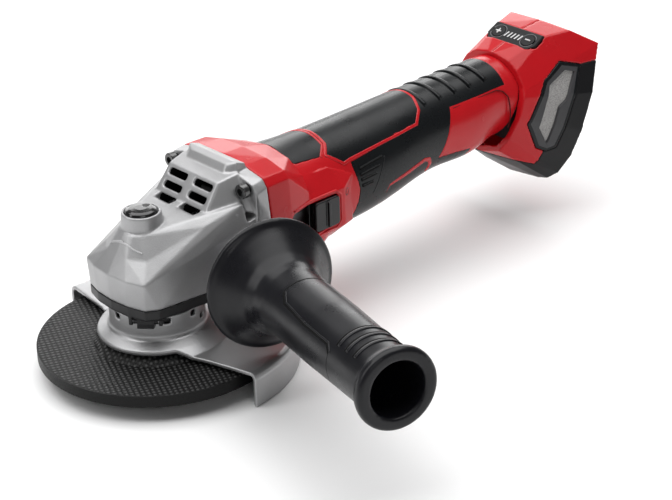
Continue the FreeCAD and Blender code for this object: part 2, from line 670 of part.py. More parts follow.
COLLAR_MID = [(0, 93.6), (18.0, 92.6), (31.0, 89.6), (34.0, 86.2), (35.8, 70.0), (35.8, 50.0),
              (31.2, 35.4), (21.0, 29.8)]
COLLAR_END = [(0, 89.4), (16.0, 87.0), (27.0, 80.0), (31.4, 72.0), (32.0, 58.0), (31.0, 46.0),
              (26.0, 36.0), (15.0, 28.6)]


def collar_outer():
    front = hull(mirrored(flange_points(FLANGE_REAR, FLANGE_X) + flange_points(COLLAR_MID, 62.0)))
    back = hull(mirrored(flange_points(COLLAR_MID, 62.0) + flange_points(COLLAR_END, 78.0)))
    return [front, back]


def collar_inner(grow=0.0):
    scale = 0.885 + grow
    middle = 60.0
    sections = ((FLANGE_REAR, FLANGE_X - 1), (COLLAR_MID, 62.0), (COLLAR_END, 78.0))
    points = [flange_points([(y * scale, middle + (z - middle) * scale) for y, z in section], x)
              for section, x in sections]
    return [hull(mirrored(points[0] + points[1])), hull(mirrored(points[1] + points[2]))]


def switch_pod():
    """Flat-sided bulge round each slide-switch opening."""
    return [hull([(57.0, s * 30.0, 43.0), (57.0, s * 30.0, 69.0), (62.0, s * SIDE_Y, 46.0),
                  (62.0, s * SIDE_Y, 68.0), (102.0, s * SIDE_Y, 46.0), (102.0, s * SIDE_Y, 67.0),
                  (112.0, s * 27.0, 44.0), (112.0, s * 27.0, 70.0), (70.0, s * 24.0, 78.0),
                  (98.0, s * 24.0, 78.0), (70.0, s * 24.0, 38.0), (98.0, s * 24.0, 38.0)])
            for s in (-1, 1)]


FRONT_PAD = [(79.5, 0), (78.5, -12.0), (80.0, -17.6), (98.0, -18.0), (103.6, -12.6), (104.6, 0)]
TOP_PAD = [(106.2, 0), (105.4, -13.4), (101.0, -18.8), (109.6, -23.2), (115.0, -22.2),
           (166.0, -19.4), (172.4, -14.6), (175.6, -7.0), (176.0, 0)]
LABEL = [(192.9, 80.9), (250.0, 80.9), (250.0, 20.0), (207.5, 20.0), (207.5, 52.1), (180.5, 55.2)]


def both_sides(outline):
    return outline + [(x, -y) for x, y in reversed(outline) if y]


def grown(outline, margin):
    """Outline scaled about its middle so that it stands out by about the margin."""
    xs = [p[0] for p in outline]
    ys = [p[1] for p in outline]
    cx, cy = (min(xs) + max(xs)) / 2, (min(ys) + max(ys)) / 2
    kx = 1 + 2 * margin / (max(xs) - min(xs))
    ky = 1 + 2 * margin / (max(ys) - min(ys))
    return [(cx + (x - cx) * kx, cy + (y - cy) * ky) for x, y in outline]


def rubber_layer():
    return loft_barrel(0).cut(loft_barrel(-PAD_T))


def front_grip_pad(layer):
    return layer.common(prism(both_sides(FRONT_PAD), 70, 110))


def top_grip_pad(layer):
    return layer.common(prism(both_sides(TOP_PAD), 70, 110))


def grip_sleeve(layer):
    """Rubber round the waist and rear of the barrel, with a bare window on each side."""
    start = side_prism([(112.8, 20), (115.5, 46), (117.0, 60), (114.6, 72), (112.0, 110),
                        (238.0, 110), (236.5, 66), (230.0, 20)], -50, 50)
    sleeve = layer.common(start)
    sleeve = sleeve.cut(prism(grown(both_sides(TOP_PAD), 1.5), 70, 110))
    sleeve = sleeve.cut(side_prism(LABEL, -50, 50))
    return sleeve


def grooved(sleeve):
    """Five finger grooves across the top of the rear of the grip."""
    grooves = []
    for n in range(5):
        x = 180.8 + 11.7 * n
        groove = Part.makeTorus(24.5, 0.9, V(x, 0, 65.7), V(1, 0, 0.18).normalize())
        grooves.append(groove.common(box((x - 9, -15.0, 70), (x + 9, 15.0, 100))))
    return carved(sleeve, grooves)


def behind_seam():
    """Everything behind the seam between the barrel and the battery foot."""
    return side_prism([(246.0, 120), (246.0, 78), (236.0, 50), (229.0, 10), (229.0, -20),
                       (330, -20), (330, 120)], -70, 70)


def motor_housing(pads):
    front, back = collar_outer()
    outer = union([front, back, loft_barrel(0)] + switch_pod())
    inner = union(collar_inner() + [loft_barrel(-WALL)])
    pocket = [box((58.0, -SIDE_Y + 2.4, 46.0), (104.0, -24.0, 68.0)),
              box((96.0, -26.4, ROD_Z[0] - 0.8), (113.0, -16.0, ROD_Z[1] + 0.8)),
              box((96.0, -24.0, ROD_Z[0] - 0.8), (134.0, -14.0, ROD_Z[1] + 0.8))]
    housing = outer.cut(inner).cut(Part.makeCompound(pads))
    housing = housing.cut(behind_seam())
    slot = box((SLOT_X[0], -SIDE_Y - 8, SLOT_Z[0]), (SLOT_X[1], -20.0, SLOT_Z[1]))
    slot = softened(slot, 2.0, lambda e: abs(e.CenterOfMass.y + SIDE_Y / 2 + 14) < 6)
    housing = carved(housing, [slot] + pocket)
    holes = []
    for side in (-1, 1):
        holes.append(cylinder(2.0, (40, side * SCREW_Y, SCREW_ZS[0]), X_AXIS, 24))
        holes.append(cylinder(2.0, (40, side * 27.0, SCREW_ZS[1]), X_AXIS, 27))
    posts = []
    for side in (-1, 1):
        posts.append(cylinder(4.4, (FLANGE_X, side * SCREW_Y, SCREW_ZS[0]), X_AXIS, 16))
        posts.append(cylinder(4.4, (FLANGE_X, side * 27.0, SCREW_ZS[1]), X_AXIS, 18))
    limits = union([front, back])
    posts = [p.common(limits) for p in posts]
    motor_room = cylinder(STATOR_R + 0.1, (FLANGE_X - 1, 0, MOTOR_Z), X_AXIS, 60)
    housing = union([housing] + posts).cut(motor_room)
    return carved(housing, holes)


# ---------------------------------------------------------------- slide switch
def switch_slider():
    x1 = SLOT_X[1] - CLEAR
    x0 = x1 - 17.0
    z0 = SLOT_Z[0] + CLEAR
    z1 = SLOT_Z[1] - CLEAR
    thumb = side_prism([(x0, z0), (x1, z0), (x1, z1), (x0, z1)], -SIDE_Y - 1.6, -SIDE_Y + 2.2)
    thumb = softened(thumb, 2.2, lambda e: abs(e.CenterOfMass.y + SIDE_Y - 0.3) < 0.1)
    thumb = softened(thumb, 0.8, lambda e: e.CenterOfMass.y < -SIDE_Y - 1.5)
    ridge = box((x0 + 8.0, -SIDE_Y - 3.0, z0 + 1), (x0 + 9.6, -SIDE_Y - 1.0, z1 - 1))
    back = box((x0 - 1.0, -SIDE_Y + 2.8, z0 - 1.4), (x1 + 1.0, -SIDE_Y + 4.4, z1 + 1.4))
    stem = box((x0 + 2.0, -SIDE_Y + 1.0, z0 + 3), (x1 - 2.0, -SIDE_Y + 3.6, z1 - 3))
    return union([thumb, ridge, back, stem])


def switch_rod():
    """Flat rod from the slider, past the motor, to the micro switch behind it."""
    low, high = ROD_Z
    pad = box((84.0, -SIDE_Y + 4.4, 52.0), (90.0, -24.5, 60.0))
    front = box((84.0, -25.7, low), (109.0, -24.5, high))
    jog = box((107.6, -25.7, low), (109.0, -22.2, high))
    rear = box((107.6, -23.3, low), (130.6, -22.2, high))
    finger = box((129.0, -23.3, low), (130.6, -16.0, high))
    return union([pad, front, jog, rear, finger])


# ---------------------------------------------------------------- battery foot
FOOT_REAR = [(0, FOOT_REAR_Z), (33.1, FOOT_REAR_Z), (34.2, 78.4), (37.0, 72.5), (39.8, 66.9),
             (40.7, 46.2), (38.8, 32.3), (33.7, 21.7), (27.5, 17.0), (21.0, 15.6), (0, 14.0)]
FOOT_FRONT = [(0, 92.0), (12.0, 89.4), (20.0, 83.0), (25.2, 74.0), (26.0, 64.0), (23.0, 52.0),
              (16.0, 43.6), (0, 39.6)]


def rear_x(z):
    return FOOT_REAR_X - (FOOT_REAR_Z - z) * FOOT_REAR_LEAN


def seam_x(z):
    return 246.4 - (92.0 - z) * 0.24


def foot_outer():
    rear = [(rear_x(z), y, z) for y, z in FOOT_REAR]
    front = [(seam_x(z) - 4, y, z) for y, z in FOOT_FRONT]
    brow = [(258.8, 15.9, 93.9), (270.0, 17.6, 99.7), (286.8, 22.7, 100.5), (286.6, 0, 101.3),
            (292.6, 27.0, 96.0)]
    low = hull(mirrored(front + [p for p in rear if p[2] < 84]))
    high = hull(mirrored([p for p in front if p[2] > 60] + brow + [p for p in rear if p[2] > 60]))
    return union([low, high]).common(behind_seam())


def foot_inset(rear_scale, front_scale):
    """Volume a little inside the foot's outer surface, open through the rear face."""
    rear = [(rear_x(z) + 1.5, y * rear_scale, 60 + (z - 60) * rear_scale) for y, z in FOOT_REAR]
    front = [(seam_x(z) - 5, y * front_scale, 66 + (z - 66) * front_scale) for y, z in FOOT_FRONT]
    return hull(mirrored(front + rear))


def foot_shell():
    return foot_outer().cut(foot_inset(0.885, 0.84)).cut(behind_rear_face())


def foot_skin():
    """Outermost layer of the foot, which the filters and the bumper are let into."""
    return foot_outer().cut(foot_inset(0.952, 0.925)).cut(behind_rear_face())


def behind_rear_face():
    top, low = 130.0, -20.0
    return side_prism([(rear_x(top), top), (rear_x(low), low), (400, low), (400, top)], -80, 80)


FILTER_OUTLINE = [(259.8, 79.1), (272.9, 86.8), (285.1, 83.2), (262.5, 39.5), (257.3, 38.0),
                  (251.4, 41.3), (245.1, 57.2)]
MESH_OUTLINE = [(262.3, 76.0), (274.4, 82.0), (280.4, 80.2), (271.0, 65.9), (266.0, 62.8),
                (257.0, 42.8), (252.2, 53.7)]


def filter_prism(margin, side):
    low, high = sorted((side * 20, side * 60))
    return side_prism(grown(FILTER_OUTLINE, margin), low, high)


def mesh_prism(side):
    low, high = sorted((side * 20, side * 60))
    return side_prism(MESH_OUTLINE, low, high)


def bumper_zone():
    """Side view of the band along the lower edge of the foot and up its rear corners."""
    return side_prism([(225.0, 40.6), (233.7, 37.1), (239.3, 34.7), (253.9, 29.3), (256.0, 38.3),
                       (262.7, 39.4), (285.3, 83.2), (rear_x(83.2) + 4, 83.2), (rear_x(0) + 4, 0),
                       (225.0, 0)], -60, 60)


def panel_frame():
    """Placement of the control panel: its middle, and unit vectors down and out of it."""
    middle = V(264.5, 0, 97.0)
    down = V(258.8 - 270.0, 0, 93.9 - 99.7).normalize()
    out = V(down.z, 0, -down.x)
    return middle, down, out


def on_panel(across, down_by, lift):
    middle, down, out = panel_frame()
    return middle + Y_AXIS * across + down * down_by + out * lift


def panel_block(outline, low, high):
    """Prism standing on the panel's plane over an (across, down) outline."""
    points = [on_panel(a, d, low) for a, d in outline]
    face = Part.Face(Part.makePolygon(points + [points[0]]))
    out = panel_frame()[2]
    return face.extrude(out * (high - low))


PANEL_OUTLINE = [(-17.6, -6.6), (17.6, -6.6), (18.0, 2.4), (14.6, 6.4), (-14.6, 6.4), (-18.0, 2.4)]
BUTTON_R = 4.2
BUTTON_Y = 11.2
RAIL_HALF = 28.4


def control_panel():
    panel = panel_block(PANEL_OUTLINE, -2.4, 0.6)
    panel = softened(panel, 0.4, lambda e: (e.CenterOfMass - on_panel(0, 0, 0.6)).dot(panel_frame()[2]) > -0.01)
    out = panel_frame()[2]
    holes = [cylinder(BUTTON_R + CLEAR, on_panel(s * BUTTON_Y, 0, -4), out, 8) for s in (-1, 1)]
    for n in range(5):
        centre = (n - 2) * 2.6
        bar = [(centre - 0.9, -1.9), (centre - 0.1, -1.9), (centre + 0.9, 1.9), (centre + 0.1, 1.9)]
        holes.append(panel_block(bar, -0.6, 2.0))
    return carved(panel, holes)


def level_bars():
    bars = []
    for n in range(5):
        centre = (n - 2) * 2.6
        bar = [(centre - 0.9, -1.9), (centre - 0.1, -1.9), (centre + 0.9, 1.9), (centre + 0.1, 1.9)]
        bars.append(panel_block(bar, -0.6, 0.7))
    return Part.makeCompound(bars)


def panel_button(side, sign):
    out = panel_frame()[2]
    button = cylinder(BUTTON_R, on_panel(side * BUTTON_Y, 0, -1.7), out, 2.6)
    button = softened(button, 0.4, lambda e: (e.CenterOfMass - on_panel(0, 0, 0.8)).dot(out) > 0)
    strokes = [[(-1.7, -0.35), (1.7, -0.35), (1.7, 0.35), (-1.7, 0.35)]]
    if sign == "plus":
        strokes.append([(-0.35, -1.7), (0.35, -1.7), (0.35, 1.7), (-0.35, 1.7)])
    marks = [panel_block([(a + side * BUTTON_Y, d) for a, d in s], 0.8, 1.2) for s in strokes]
    return union([button] + marks)


def panel_board():
    board = panel_block([(-16.0, -5.4), (16.0, -5.4), (16.0, 5.4), (-16.0, 5.4)], -4.4, -3.2)
    out = panel_frame()[2]
    domes = [cylinder(1.6, on_panel(s * BUTTON_Y, 0, -3.3), out, 0.9) for s in (-1, 1)]
    return union([board] + domes)


def rear_housing():
    """Both halves of the foot shell, still in one piece."""
    shell = foot_shell()
    skin = foot_skin()
    shell = shell.cut(panel_block(grown(PANEL_OUTLINE, 0.3), -6.0, 9.0))
    for side in (-1, 1):
        shell = shell.cut(skin.common(filter_prism(0.2, side)))
        shell = shell.cut(mesh_prism(side))
    return shell.cut(skin.common(bumper_zone()))


def rear_bumper():
    bumper = foot_skin().common(bumper_zone())
    return carved(bumper, [filter_prism(0.2, side) for side in (-1, 1)])


def air_filter(side):
    """Filter cover in the flared side of the foot: a frame with its mesh set back in it."""
    cover = foot_skin().common(filter_prism(0.0, side))
    recess = cover.copy()
    recess.translate(V(0, side * 0.9, 0))
    return cover.cut(recess.common(mesh_prism(side)))


def leaning_box(x0, x1, y0, y1, z0, z1):
    """Box in the leaning frame of the rear face: x is measured forward from that face."""
    points = []
    for x in (x0, x1):
        for y in (y0, y1):
            for z in (z0, z1):
                points.append((rear_x(z) - x, y, z))
    return hull(points)


def battery_rails():
    """Moulded slide-in seat for the battery: back plate, lipped rails, stop and terminal block."""
    half = RAIL_HALF
    plate = leaning_box(9.0, 12.0, -half, half, 34.0, 81.0)
    rails = [leaning_box(1.0, 9.1, s * (half - 4), s * half, 36.0, 81.0) for s in (-1, 1)]
    lips = [leaning_box(1.0, 3.6, s * (half - 7.4), s * half, 36.0, 81.0) for s in (-1, 1)]
    stop = leaning_box(1.0, 9.1, -half, half, 78.0, 81.0)
    block = leaning_box(3.0, 9.1, -15.0, 15.0, 62.0, 78.5)
    return union([plate, stop, block] + rails + lips)


def terminal_blades():
    blades = []
    for n in range(5):
        y = -11.0 + 5.5 * n
        blades.append(leaning_box(3.4, 8.9, y - 0.4, y + 0.4, 48.0, 61.9))
    return Part.makeCompound(blades)


# ---------------------------------------------------------------- electronics
def controller_tray():
    tray = box((150.0, -13.0, 52.0), (228.0, 13.0, 60.0))
    return tray.cut(box((151.2, -11.8, 53.2), (226.8, 11.8, 61.0)))


def controller_board():
    """Motor controller: board with its power transistors and three capacitors soldered on."""
    board = box((152.0, -11.5, 60.0), (226.0, 11.5, 61.8))
    chips = [box((156.0 + 9.0 * n, -8.0, 61.7), (162.0 + 9.0 * n, -2.0, 64.2)) for n in range(6)]
    cans = [cylinder(4.4, (x, 5.6, 61.7), Z_AXIS, 14.0) for x in (164.0, 176.0, 188.0)]
    return union([board] + chips + cans)


def micro_switch():
    body = box((131.0, -21.6, 54.0), (147.0, -13.6, 62.0))
    terminal = box((146.9, -18.6, 56.0), (149.6, -17.6, 60.0))
    return union([body, terminal])


# ---------------------------------------------------------------- side handle
def handle_grip():
    ring_s = GRIP_END_S - 7.6
    profile = [(0, 74.0), (12.6, 74.0), (12.6, 67.5), (21.0, 64.4), (29.6, RIM_S), (32.8, RIM_S),
               (RIM_R, RIM_S + 1.2), (RIM_R, RIM_S + 2.8), (33.2, RIM_S + 4.0), (31.4, RIM_S + 4.6),
               (29.0, 68.0), (25.4, 72.4), (21.6, 77.6), (19.2, 83.0), (18.1, 89.0), (17.7, 100.0),
               (17.6, 130.0), (16.9, 160.0), (16.5, ring_s - 3.0), (17.0, ring_s - 0.8),
               (18.6, ring_s + 0.4), (20.0, ring_s + 2.2), (20.5, ring_s + 4.4),
               (20.2, GRIP_END_S - 1.2), (19.0, GRIP_END_S), (14.6, GRIP_END_S),
               (13.7, GRIP_END_S - 1.0), (13.7, GRIP_BORE_S), (0, GRIP_BORE_S)]
    return handle_turned(profile)


def handle_stud():
    """Steel stud with a collar; the grip is moulded on its knurled end."""
    start = BOSS_S - STUD_DEPTH
    profile = [(0, start), (STUD_R - RUN, start), (STUD_R - RUN, BOSS_S + 2.4), (9.0, BOSS_S + 2.4),
               (9.0, BOSS_S + 7.0), (11.8, BOSS_S + 9.0), (11.8, 66.8), (7.0, 73.9), (0, 73.9)]
    return handle_turned(profile)


def handle_washer():
    return handle_turned([(STUD_R + 0.1, BOSS_S + 0.3), (8.6, BOSS_S + 0.3), (8.6, BOSS_S + 2.1),
                          (STUD_R + 0.1, BOSS_S + 2.1)])


# ---------------------------------------------------------------- write every piece
def main():
    os.makedirs("parts", exist_ok=True)
    save("spindle", spindle())
    save("inner_flange", inner_flange())
    save("lock_nut", lock_nut())
    save("grinding_wheel", grinding_wheel())
    save("wheel_bushing", wheel_bushing())
    save("ring_gear", ring_gear())
    ball_bearing("spindle_bearing", (0, 0, 29.5), Z_AXIS, 7.5, 17.5, 11.0, 2.9, 8)
    save("bearing_retainer", tube(17.4, 10.4, (0, 0, 35.3), Z_AXIS, 3.2))
    save("spindle_seal", tube(14.9, 9.2 + CLEAR, (0, 0, 21.7), Z_AXIS, 2.1))
    save("upper_bush", tube(7.28, 4.5 + RUN, (0, 0, 58.2), Z_AXIS, 7.6))
    save("gear_head", gear_head())
    save("bearing_flange", bearing_flange())
    save("flange_screws", flange_screws())
    save("head_screws", head_screws())
    save("lock_button", lock_button())
    save("lock_pin", lock_pin())
    save("lock_spring", coil_spring(3.9, 0.45, 6.0, 5, V(BOSS_X + 1.2, 0, SPRING_SEAT_Z + 0.1)))
    save("guard", guard())
    save("guard_lever", guard_lever())
    save("lever_pin", lever_pin())

    save("pinion", pinion())
    save("rotor_shaft", rotor_shaft())
    save("rotor_core", rotor_core())
    save("rotor_magnets", rotor_magnets())
    save("fan", fan())
    ball_bearing("front_bearing", (31.4, 0, MOTOR_Z), X_AXIS, 5.0, 12.98, 8.0, 2.3, 8)
    ball_bearing("rear_bearing", (111.5, 0, MOTOR_Z), X_AXIS, 4.0, 10.98, 7.0, 2.0, 7)
    save("bearing_bracket", bearing_bracket())
    save("stator_core", stator_core())
    save("stator_windings", stator_windings())

    layer = rubber_layer()
    front_pad = front_grip_pad(layer)
    top_pad = top_grip_pad(layer)
    sleeve = grip_sleeve(layer)
    save("front_grip_pad", front_pad)
    save("top_grip_pad", top_pad)
    save("grip_sleeve", grooved(sleeve))
    save("motor_housing", motor_housing([front_pad, top_pad, sleeve]))
    save("switch_slider", switch_slider())
    save("switch_rod", switch_rod())
    save("micro_switch", micro_switch())

    shell = rear_housing()
    half = box((200, 0, -20), (320, 80, 140))
    save("rear_housing_left", shell.common(half))
    save("rear_housing_right", shell.common(half.mirror(V(0, 0, 0), Y_AXIS)))
    save("rear_bumper", rear_bumper())
    save("filter_left", air_filter(1))
    save("filter_right", air_filter(-1))
    save("control_panel", control_panel())
    save("level_bars", level_bars())
    save("plus_button", panel_button(1, "plus"))
    save("minus_button", panel_button(-1, "minus"))
    save("panel_board", panel_board())
    save("battery_rails", battery_rails())
    save("terminal_blades", terminal_blades())
    save("controller_tray", controller_tray())
    save("controller_board", controller_board())

    save("handle_grip", handle_grip())
    save("handle_stud", handle_stud())
    save("handle_washer", handle_washer())


main()
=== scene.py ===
"""Looks of the cordless angle grinder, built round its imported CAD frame. Lengths in metres."""

import json
import math

import bmesh
import bpy
import numpy as np
from mathutils import Matrix, Vector
from mathutils.bvhtree import BVHTree


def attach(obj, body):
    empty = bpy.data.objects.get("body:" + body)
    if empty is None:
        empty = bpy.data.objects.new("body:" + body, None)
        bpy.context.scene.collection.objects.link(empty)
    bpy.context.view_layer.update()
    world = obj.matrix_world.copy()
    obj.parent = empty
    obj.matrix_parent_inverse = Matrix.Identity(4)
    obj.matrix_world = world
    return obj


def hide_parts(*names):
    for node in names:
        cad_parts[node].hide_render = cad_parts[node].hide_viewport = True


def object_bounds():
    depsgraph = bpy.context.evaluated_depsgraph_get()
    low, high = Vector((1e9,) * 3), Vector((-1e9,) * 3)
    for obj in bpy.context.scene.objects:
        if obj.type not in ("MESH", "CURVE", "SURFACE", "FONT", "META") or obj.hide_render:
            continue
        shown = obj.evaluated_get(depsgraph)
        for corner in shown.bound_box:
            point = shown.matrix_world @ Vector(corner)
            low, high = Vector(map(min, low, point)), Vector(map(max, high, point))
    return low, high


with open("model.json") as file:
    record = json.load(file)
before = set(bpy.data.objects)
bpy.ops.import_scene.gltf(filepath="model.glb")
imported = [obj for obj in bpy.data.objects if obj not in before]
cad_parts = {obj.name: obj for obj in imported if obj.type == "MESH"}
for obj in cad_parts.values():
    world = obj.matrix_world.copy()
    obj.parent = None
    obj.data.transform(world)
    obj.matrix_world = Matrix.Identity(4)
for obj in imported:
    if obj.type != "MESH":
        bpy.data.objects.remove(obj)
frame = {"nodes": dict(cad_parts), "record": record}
cad_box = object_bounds()
MM = 0.001
NODES = frame["nodes"]

# barrel sections: (x, centre height, radius), and the side handle's axis, in millimetres
BARREL = np.array([(70.0, 58.2, 31.6), (100.0, 57.9, 29.8), (124.0, 60.0, 27.9), (151.0, 62.1, 26.6),
                   (174.0, 64.8, 24.7), (192.0, 65.6, 24.3), (217.0, 65.9, 24.3), (246.0, 66.1, 24.5)])
LEAN = math.radians(15.0)
RISE = math.radians(2.0)
HANDLE_START = np.array([40.8, 0.0, 48.6])
HANDLE_DIR = np.array([-math.sin(LEAN) * math.cos(RISE), -math.cos(LEAN) * math.cos(RISE), math.sin(RISE)])


# ---------------------------------------------------------------- camera
CAMERA_PLACE = (-0.5478, -0.7454, 0.5143)
CAMERA_TURN = (-42.0, 26.6, -1.8)      # azimuth, elevation and roll in degrees
CAMERA_LENS = 109.95                   # in millimetres, for a sensor 36 mm wide


def make_camera():
    azimuth, elevation, roll = (math.radians(a) for a in CAMERA_TURN)
    back = Vector((math.sin(azimuth) * math.cos(elevation), -math.cos(azimuth) * math.cos(elevation),
                   math.sin(elevation)))
    right = Vector((math.cos(azimuth), math.sin(azimuth), 0))
    up = back.cross(right)
    right_rolled = right * math.cos(roll) + up * math.sin(roll)
    up_rolled = up * math.cos(roll) - right * math.sin(roll)
    data = bpy.data.cameras.new("camera")
    data.lens = CAMERA_LENS
    data.sensor_width = 36.0
    data.clip_end = 20.0
    camera = bpy.data.objects.new("camera", data)
    turn = Matrix((right_rolled, up_rolled, back)).transposed().to_4x4()
    camera.matrix_world = Matrix.Translation(Vector(CAMERA_PLACE)) @ turn
    bpy.context.collection.objects.link(camera)
    bpy.context.scene.camera = camera


# ---------------------------------------------------------------- materials
class Shader:
    """Small helper round one Principled material."""

    def __init__(self, name, colour, rough, metal=0.0, coat=0.0, coat_rough=0.1, specular=0.5):
        self.material = bpy.data.materials.new(name)
        self.material.use_nodes = True
        self.nodes = self.material.node_tree.nodes
        self.links = self.material.node_tree.links
        self.main = self.nodes["Principled BSDF"]
        self.main.inputs["Base Color"].default_value = (*colour, 1)
        self.main.inputs["Roughness"].default_value = rough
        self.main.inputs["Metallic"].default_value = metal
        self.main.inputs["Coat Weight"].default_value = coat
        self.main.inputs["Coat Roughness"].default_value = coat_rough
        self.main.inputs["Specular IOR Level"].default_value = specular
        self.colour = colour
        self.rough = rough
        self.coords = self.nodes.new("ShaderNodeTexCoord")
        self.normal = None

    def noise(self, scale, detail=4.0, roughness=0.55, stretch=(1, 1, 1)):
        mapping = self.nodes.new("ShaderNodeMapping")
        mapping.inputs["Scale"].default_value = stretch
        self.links.new(self.coords.outputs["Object"], mapping.inputs["Vector"])
        node = self.nodes.new("ShaderNodeTexNoise")
        node.inputs["Scale"].default_value = scale
        node.inputs["Detail"].default_value = detail
        node.inputs["Roughness"].default_value = roughness
        self.links.new(mapping.outputs["Vector"], node.inputs["Vector"])
        return node.outputs["Fac"]

    def spread(self, value, low, high, from_low=0.3, from_high=0.7):
        node = self.nodes.new("ShaderNodeMapRange")
        node.inputs["From Min"].default_value = from_low
        node.inputs["From Max"].default_value = from_high
        node.inputs["To Min"].default_value = low
        node.inputs["To Max"].default_value = high
        self.links.new(value, node.inputs["Value"])
        return node.outputs["Result"]

    def vary_colour(self, value, dark=0.85, light=1.15):
        node = self.nodes.new("ShaderNodeMix")
        node.data_type = "RGBA"
        node.inputs["A"].default_value = (*[min(1, c * dark) for c in self.colour], 1)
        node.inputs["B"].default_value = (*[min(1, c * light) for c in self.colour], 1)
        self.links.new(value, node.inputs["Factor"])
        self.links.new(node.outputs["Result"], self.main.inputs["Base Color"])
        return node

    def vary_rough(self, value, span=0.06):
        self.links.new(self.spread(value, self.rough - span, self.rough + span),
                       self.main.inputs["Roughness"])

    def bump(self, value, strength, distance):
        node = self.nodes.new("ShaderNodeBump")
        node.inputs["Strength"].default_value = strength
        node.inputs["Distance"].default_value = distance
        self.links.new(value, node.inputs["Height"])
        if self.normal is not None:
            self.links.new(self.normal, node.inputs["Normal"])
        self.normal = node.outputs["Normal"]
        self.links.new(self.normal, self.main.inputs["Normal"])

    def paint_edge_highlight(self, tint, amount=0.5, low=0.53, high=0.60):
        """Painted highlight: lighter colour on convex edges."""
        geometry = self.nodes.new("ShaderNodeNewGeometry")
        factor = self.spread(geometry.outputs["Pointiness"], 0.0, amount, low, high)
        mix = self.nodes.new("ShaderNodeMix")
        mix.data_type = "RGBA"
        source = self.main.inputs["Base Color"]
        if source.links:
            self.links.new(source.links[0].from_socket, mix.inputs["A"])
        else:
            mix.inputs["A"].default_value = source.default_value
        mix.inputs["B"].default_value = (*tint, 1)
        self.links.new(factor, mix.inputs["Factor"])
        self.links.new(mix.outputs["Result"], source)


def plain(name, colour, rough, metal=0.0, coat=0.0, grain=900.0, grain_depth=0.00003, strength=0.25,
          coat_rough=0.1, span=0.06, specular=0.5, highlight_edges=None, speckle=0.0):
    """Moulded, cast or coated surface: soft colour drift, rough variation, fine grain and, where asked, a
    painted highlight on convex edges.
    """
    s = Shader(name, colour, rough, metal, coat, coat_rough, specular)
    broad = s.noise(24.0, 3.0)
    drift = s.spread(broad, 0.0, 1.0)
    if speckle:
        fine = s.nodes.new("ShaderNodeMath")
        fine.operation = "MULTIPLY_ADD"
        s.links.new(s.noise(1700.0, 3.0, 0.7), fine.inputs[0])
        fine.inputs[1].default_value = 0.8
        s.links.new(drift, fine.inputs[2])
        s.vary_colour(s.spread(fine.outputs[0], 0.0, 1.0, 0.1, 1.5), 1 - speckle, 1 + speckle)
    else:
        s.vary_colour(drift, 0.92, 1.08)
    s.vary_rough(s.noise(60.0, 5.0), span)
    s.bump(s.noise(grain, 3.0, 0.6), strength, grain_depth)
    # painted highlight: a lighter tint on convex edges
    if highlight_edges:
        s.paint_edge_highlight(highlight_edges[0], highlight_edges[1])
    return s.material


def brushed(name, colour, rough, stretch=(1, 1, 40), scale=400.0):
    s = Shader(name, colour, rough, 1.0)
    streaks = s.noise(scale, 4.0, 0.6, stretch)
    s.vary_colour(s.spread(streaks, 0.0, 1.0), 0.85, 1.1)
    s.vary_rough(streaks, 0.08)
    s.bump(streaks, 0.12, 0.00004)
    return s.material


WEAVE_SCALE = 122.0               # waves of the glass-fibre mesh, both ways
WEAVE_TURN = 0.42                 # how far the mesh is turned on the wheel, in radians
WEAVE_REACH = (0.0614, 0.0620)    # the mesh fades out between these radii, before the rim


def woven_abrasive():
    """Black resin wheel: glass-fibre mesh showing through on the faces, plain grit on the rim."""
    s = Shader("abrasive_black", (0.012, 0.012, 0.012), 0.5, specular=0.2)
    parts = []
    for angle in (WEAVE_TURN, WEAVE_TURN + math.pi / 2):
        mapping = s.nodes.new("ShaderNodeMapping")
        mapping.inputs["Rotation"].default_value = (0, 0, angle)
        s.links.new(s.coords.outputs["Object"], mapping.inputs["Vector"])
        wave = s.nodes.new("ShaderNodeTexWave")
        wave.wave_type = "BANDS"
        wave.bands_direction = "X"
        wave.inputs["Scale"].default_value = WEAVE_SCALE
        wave.inputs["Distortion"].default_value = 0.6
        wave.inputs["Detail"].default_value = 1.0
        s.links.new(mapping.outputs["Vector"], wave.inputs["Vector"])
        parts.append(wave.outputs["Fac"])
    weave = s.nodes.new("ShaderNodeMath")
    weave.operation = "MULTIPLY"
    s.links.new(parts[0], weave.inputs[0])
    s.links.new(parts[1], weave.inputs[1])
    grit = s.noise(1400.0, 2.0)
    total = s.nodes.new("ShaderNodeMath")
    total.operation = "MULTIPLY_ADD"
    s.links.new(grit, total.inputs[0])
    total.inputs[1].default_value = 0.35
    s.links.new(weave.outputs[0], total.inputs[2])
    flat = s.nodes.new("ShaderNodeVectorMath")
    flat.operation = "MULTIPLY"
    flat.inputs[1].default_value = (1, 1, 0)
    s.links.new(s.coords.outputs["Object"], flat.inputs[0])
    reach = s.nodes.new("ShaderNodeVectorMath")
    reach.operation = "LENGTH"
    s.links.new(flat.outputs["Vector"], reach.inputs[0])
    face = s.spread(reach.outputs["Value"], 1.0, 0.0, *WEAVE_REACH)
    shown = s.nodes.new("ShaderNodeMath")
    shown.operation = "MULTIPLY"
    s.links.new(s.spread(weave.outputs[0], 0.0, 1.0, 0.12, 0.75), shown.inputs[0])
    s.links.new(face, shown.inputs[1])
    relief = s.nodes.new("ShaderNodeMath")
    relief.operation = "MULTIPLY"
    s.links.new(total.outputs[0], relief.inputs[0])
    s.links.new(face, relief.inputs[1])
    s.vary_colour(shown.outputs[0], 0.25, 5.0)
    s.vary_rough(grit, 0.12)
    s.bump(relief.outputs[0], 0.9, 0.0006)
    return s.material


